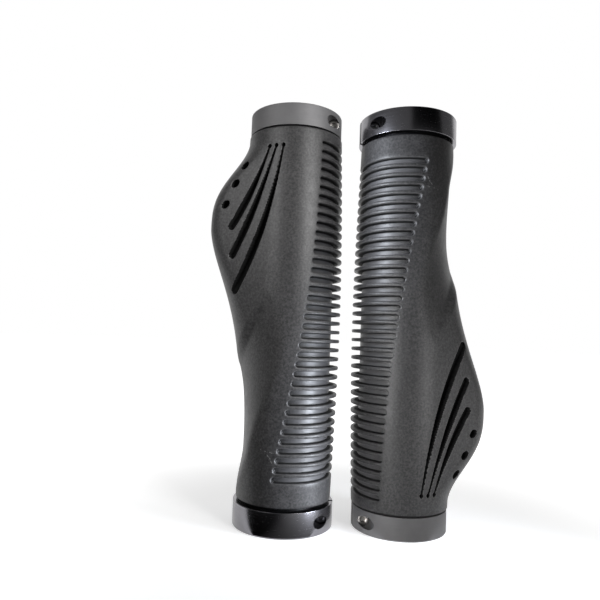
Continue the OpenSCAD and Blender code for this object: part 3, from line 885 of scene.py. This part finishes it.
def piece(name, mesh, place, body, node, slot, sharp):
    """A finished mesh that stands for one CAD node and rides on its body."""
    obj = linked(name, mesh)
    obj.matrix_world = place
    if not mesh.materials:
        mesh.materials.append(MATERIALS[slot])
        mesh.shade_smooth()
        mesh.set_sharp_from_angle(angle=math.radians(sharp))
    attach(obj, body)
    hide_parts(node)
    return obj


OUTER_END = Matrix.Translation((0, 0, (GRIP_LEN - OUTER_H) * MM))
INNER_END = Matrix.Translation((0, 0, INNER_H * MM)) @ Matrix.Diagonal((1, 1, -1, 1))


def in_metres(place):
    """A place in millimetres as one in metres."""
    moved = place.copy()
    moved.translation *= MM
    return moved


OUTER_BOLT = OUTER_END @ in_metres(bolt_place(OUTER_H))
INNER_BOLT = in_metres(bolt_place(INNER_H))
core = core_mesh("grip_core")
outer_ring = ring_mesh(OUTER_D, OUTER_H, "outer_ring")
outer_ring.transform(OUTER_END)
inner_ring = ring_mesh(INNER_D, INNER_H, "inner_ring")
inner_ring.transform(INNER_END)
inner_ring.flip_normals()
outer_bolt = bolt_mesh("outer_bolt")
outer_bolt.transform(OUTER_BOLT)
inner_bolt = bolt_mesh("inner_bolt")
inner_bolt.transform(INNER_BOLT)
PIECES = {  # name, mesh, body, CAD node, slot and the angle from which edges are sharp
    "rubber": ("grip_rubber", rubber, "sleeve", "rubber_sleeve", "rubber", 50),
    "core": ("grip_core", core, "sleeve", "core_tube", "core_plastic", 35),
    "outer_ring": (
        "outer_ring", outer_ring, "outer_clamp", "outer_lock_ring", "outer_ring_metal", 35),
    "inner_ring": (
        "inner_ring", inner_ring, "inner_clamp", "inner_lock_ring", "inner_ring_metal", 35),
    "outer_bolt": (
        "outer_bolt_screw", outer_bolt, "outer_bolt", "outer_pinch_bolt", "outer_bolt_steel", 30),
    "inner_bolt": (
        "inner_bolt_screw", inner_bolt, "inner_bolt", "inner_pinch_bolt", "inner_bolt_steel", 30),
}
SIDES = {
    side: {
        key: piece(f"{side}_{name}", mesh, place, f"{side}_{body}", f"{side}_{node}", slot, sharp)
        for key, (name, mesh, body, node, slot, sharp) in PIECES.items()
    }
    for side, place in (("left", LEFT_AT), ("right", RIGHT_AT))
}

# ---- Floor, backdrop and lamps ------------------------------------------------------------


# What the floor glows with by itself for sight and reflections, on top of its lit colour: near the
# grips and farther out. The glow is weaker near the grips, a painted lift that leaves the floor
# there darker than farther out so that it keeps their shadows
FLOOR_LIFT_NEAR, FLOOR_LIFT_FAR, FLOOR_NEAR, FLOOR_FAR = 0.48, 0.95, 0.05, 0.16
WORLD_LIGHT = 0.12
FLOOR_R, FLOOR_COLOUR = 4, 0.82
shape = bmesh.new()
bmesh.ops.create_circle(shape, cap_ends=True, radius=FLOOR_R, segments=96)
floor = linked("floor", mesh_of(shape, "floor"))
floor_mat = new_material("pale_floor")
m = Nodes(floor_mat.node_tree)
lift = m.ramp(m.vector("LENGTH", m.object_place()), FLOOR_NEAR, FLOOR_FAR,
              FLOOR_LIFT_NEAR, FLOOR_LIFT_FAR, "SMOOTHSTEP")
diffuse, glow, both = m.add("BsdfDiffuse"), m.add("Emission"), m.add("AddShader")
diffuse.inputs["Color"].default_value = (*[FLOOR_COLOUR] * 3, 1)
m.link(m.math("MULTIPLY", m.background_rays(), lift), glow.inputs["Strength"])
m.link(diffuse.outputs[0], both.inputs[0])
m.link(glow.outputs[0], both.inputs[1])
m.link(both.outputs[0], m.add("OutputMaterial").inputs[0])
floor.data.materials.append(floor_mat)

world = bpy.data.worlds.new("backdrop")
bpy.context.scene.world = world
world.use_nodes = True
m = Nodes(world.node_tree)
sky = m.add("Background")
sky.inputs["Color"].default_value = (1, 1, 1, 1)
m.link(m.ramp(m.background_rays(), 0, 1, WORLD_LIGHT, 1), sky.inputs["Strength"])
m.link(sky.outputs[0], m.add("OutputWorld").inputs[0])


def lit(name, objects):
    """The set of objects that a lamp lights."""
    group = bpy.data.collections.new(name)
    for obj in objects:
        group.objects.link(obj)
    return group


def softbox(name, at, aim, width, height, spread, watts, colour, receivers):
    data = bpy.data.lights.new(name, "AREA")
    data.shape = "RECTANGLE"
    data.size, data.size_y = width, height
    data.spread = math.radians(spread)
    data.energy = watts
    data.color = colour
    lamp = linked(name, data)
    lamp.location = at
    lamp.rotation_mode = "QUATERNION"
    lamp.rotation_quaternion = (Vector(aim) - Vector(at)).to_track_quat("-Z", "Y")
    lamp.visible_camera = False
    lamp.light_linking.receiver_collection = receivers


def card(name, corners, level, rise=None):
    """A board that only reflections show, a painted reflection: a dark flag, or a glowing grey wall
    of the room. It is given as a strip between two lines of corners, and rise is (x, x, level)
    where it gets paler from left to right."""
    bm = bmesh.new()
    low = [bm.verts.new(p) for p in corners[0]]
    high = [bm.verts.new(p) for p in corners[1]]
    for i in range(len(low) - 1):
        bm.faces.new((low[i], low[i + 1], high[i + 1], high[i]))
    obj = linked(name, mesh_of(bm, name))
    mat = new_material(name)
    m = Nodes(mat.node_tree)
    glow = m.add("Emission")
    glow.inputs["Color"].default_value = (level, level, level, 1)
    if rise:
        where = m.add("SeparateXYZ")
        m.link(m.object_place(), where.inputs[0])
        m.link(m.ramp(where.outputs["X"], *rise[:2], level, rise[2]), glow.inputs["Color"])
    m.link(glow.outputs[0], m.add("OutputMaterial").inputs[0])
    obj.data.materials.append(mat)
    for way in ("camera", "diffuse", "transmission", "volume_scatter", "shadow"):
        setattr(obj, f"visible_{way}", False)


# The photograph is two pictures of one grip, the second turned half round, so each grip has
# its own softboxes: the left grip's stand as listed, the right grip's half round about Y
LOWEST_LAMP = 0.025
RIGHT_SHARE = 0.8  # the floor keeps the right grip's lamps nearer to it than half round
WHITE, BLUISH = (1, 1, 1), (0.86, 0.91, 1)
SOFTBOXES = [  # name, place, aim, width, height, spread, watts, colour, lights the floor too
    ("key", (0.095, -0.155, 0.170), (-0.019, 0, 0.112), 0.06, 0.13, 70, 0.064, WHITE, True),
    ("fill", (-0.130, -0.110, 0.150), (-0.030, 0, 0.100), 0.08, 0.09, 60, 0.0162, WHITE, False),
    ("kick", (0.110, -0.070, 0.025), (-0.010, -0.01, 0.018), 0.05, 0.04, 60, 0.055, BLUISH, True),
]
for side, turn in (("left", 1), ("right", -1)):
    grip = list(SIDES[side].values())
    only_grip = lit(f"{side}_grip", grip)
    with_floor = lit(f"{side}_grip_and_floor", [*grip, floor])
    for name, at, aim, width, height, spread, watts, colour, on_floor in SOFTBOXES:
        ends = []
        for x, y, z in (at, aim):
            z = z if turn > 0 else max(LOWEST_LAMP, GRIP_LEN * MM - z)
            ends.append((turn * x, y, z))
        to_floor = on_floor if turn > 0 else name == "fill"  # alone of the right grip's
        share = 1 if turn > 0 else RIGHT_SHARE
        softbox(f"{side}_{name}", *ends, width, height, spread, share * watts, colour,
                with_floor if to_floor else only_grip)
softbox("top", (0, 0.02, 0.5), (0, 0.02, 0), 0.6, 0.6, 180, 1.25, WHITE,
        lit("floor_alone", [floor]))

# painted reflections: glowing grey walls and ceiling, a dark mat over the floor that gets paler to
# the right, and a dark flag above the grips, all seen only in reflections
ROOM_R, ROOM_H, ROOM_FROM, ROOM_TO = 0.9, 1.5, math.radians(-120), math.radians(120)
round_room = [ROOM_FROM + (ROOM_TO - ROOM_FROM) * k / 24 for k in range(25)]
card("reflected_room_wall", [[(ROOM_R * math.sin(w), -ROOM_R * math.cos(w), z) for w in round_room]
                   for z in (0.001, ROOM_H)], 0.16)
card("reflected_ceiling", [[(-0.9, -0.9, ROOM_H), (0.9, -0.9, ROOM_H)],
                 [(-0.9, 0.9, ROOM_H), (0.9, 0.9, ROOM_H)]], 0.16)
card("mat", [[(-0.6, -0.9, 0.0004), (0.6, -0.9, 0.0004)],
            [(-0.6, -0.014, 0.0004), (0.6, -0.014, 0.0004)]], 0.003, (-0.027, 0.006, 0.40))
card("reflected_high_flag", [[(0.016, -0.070, 0.138), (0.120, -0.040, 0.138)],
                   [(0.016, -0.080, 0.230), (0.120, -0.050, 0.230)]], 0.0)

bpy.context.scene.view_settings.view_transform = "Standard"

# ---- Image points -------------------------------------------------------------------------

POINTS = {
    "object_left": (211.7, 228.0),
    "object_right": (483.9, 409.2),
    "object_top": (291.9, 102.2),
    "object_bottom": (411.3, 542.7),
    "left_upper_dot": (242.9, 166.0),
    "left_middle_dot": (233.7, 184.1),
    "left_lower_dot": (224.5, 205.3),
    "left_slit_1_foot": (229.9, 227.7),
    "left_slit_3_foot": (234.7, 293.5),
    "left_top_groove_end": (324.4, 143.9),
    "left_bottom_groove_end": (273.3, 480.7),
    "left_scratch_foot": SCRATCHES[1][1],
    "left_outer_bolt": (332.0, 119.0),
    "left_inner_bolt": (317.7, 520.2),
    "right_inner_bolt": (378.1, 122.5),
    "right_outer_bolt": (364.3, 526.9),
}
CLOSE = 0.2  # millimetres: a vertex this near to the first thing that its ray meets shows

verts, polys = [], []
for side in SIDES.values():
    for obj in side.values():
        polys += [[i + len(verts) for i in p.vertices] for p in obj.data.polygons]
        verts += [obj.matrix_world @ v.co for v in obj.data.vertices]
whole = BVHTree.FromPolygons(verts, polys)


def in_view(p):
    start = camera.matrix_world.translation
    way = p - start
    return whole.ray_cast(start, way.normalized(), way.length - CLOSE * MM)[0] is None


def extreme(axis, sign):
    """The image point of the finished vertex that shows farthest to one side."""
    seen = [(seen_at(p), p) for p in verts]
    seen.sort(key=lambda pair: sign * pair[0][axis])
    return next(at for at, p in seen if in_view(p))


def middle(obj, picked):
    """The middle of what shows of the picked vertices, given in the grip's own frame."""
    shown = [seen_at(obj.matrix_world @ v.co) for i, v in enumerate(obj.data.vertices)
             if picked(i, v.co / MM) and in_view(obj.matrix_world @ v.co)]
    return tuple((min(c) + max(c)) / 2 for c in zip(*shown)) if shown else None


rim_marks = np.zeros(len(rubber.vertices), np.float32)
rubber.attributes["rim"].data.foreach_get("value", rim_marks)


def rim_near(centre, reach):
    """Picks the front rim vertices of a hollow around its centre."""
    centre = Vector(centre)
    return lambda i, co: rim_marks[i] > 0.9 and (co - centre).length < reach


def dot_centre(k):
    where, up_by, _ = DOTS[k]
    z, a = WING_Z + up_by, math.radians(where)
    r = float(section_r(np.array(z), np.array(a)))
    return -r * math.cos(a), -r * math.sin(a), z


def slit_foot(k):
    """Picks the rim around the lower end of a slit."""
    along, height = SLITS[k][2]
    tip = Vector((-math.sin(SLIT_DIR), math.cos(SLIT_DIR), 0))
    reach = SLIT_FULL_W[k] / 2 + 0.1
    return lambda i, co: rim_marks[i] > 0.9 and co.y < 0 and math.hypot(
        co.dot(tip) - along, co.z - WING_Z - height) < reach


def groove_foot(i):
    z = GROOVE_Z + PITCH * i
    turn = float(groove_end(z)) - math.asin(HALF_W / END_R)
    return END_R * math.cos(turn), -END_R * math.sin(turn), z


def hole_edge(bolt, d):
    """Picks the edge of a bolt's hole in the outside of its ring."""
    to_bolt = bolt.inverted()
    return lambda i, co: (
        abs((to_bolt @ (co * MM)).xy.length / MM - HEAD_R - HEAD_CLEAR) < 0.02
        and co.xy.length > d / 2 - RING_ROUND and co.y < 0)


left, turned_grip = SIDES["left"], SIDES["right"]
shown_at = {
    "object_left": extreme(0, 1),
    "object_right": extreme(0, -1),
    "object_top": extreme(1, 1),
    "object_bottom": extreme(1, -1),
    "left_upper_dot": middle(left["rubber"], rim_near(dot_centre(0), DOT_L / 2 + 0.3)),
    "left_middle_dot": middle(left["rubber"], rim_near(dot_centre(1), DOT_L / 2 + 0.3)),
    "left_lower_dot": middle(left["rubber"], rim_near(dot_centre(2), DOT_L / 2 + 0.3)),
    "left_slit_1_foot": middle(left["rubber"], slit_foot(0)),
    "left_slit_3_foot": middle(left["rubber"], slit_foot(2)),
    "left_top_groove_end": middle(left["rubber"], rim_near(groove_foot(GROOVES - 1), HALF_W + 0.4)),
    "left_bottom_groove_end": middle(left["rubber"], rim_near(groove_foot(0), HALF_W + 0.4)),
    "left_scratch_foot": seen_at(LEFT_AT @ (scratch_lines[1][1] * MM)),
    "left_outer_bolt": middle(left["outer_ring"], hole_edge(OUTER_BOLT, OUTER_D)),
    "left_inner_bolt": middle(left["inner_ring"], hole_edge(INNER_BOLT, INNER_D)),
    "right_inner_bolt": middle(turned_grip["inner_ring"], hole_edge(INNER_BOLT, INNER_D)),
    "right_outer_bolt": middle(turned_grip["outer_ring"], hole_edge(OUTER_BOLT, OUTER_D)),
}
for name, point in POINTS.items():
    at = shown_at[name]
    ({"point": point, "shows_at": at and [round(c, 1) for c in at],
                     "off": at and [round(c - p, 1) for c, p in zip(at, point)]})
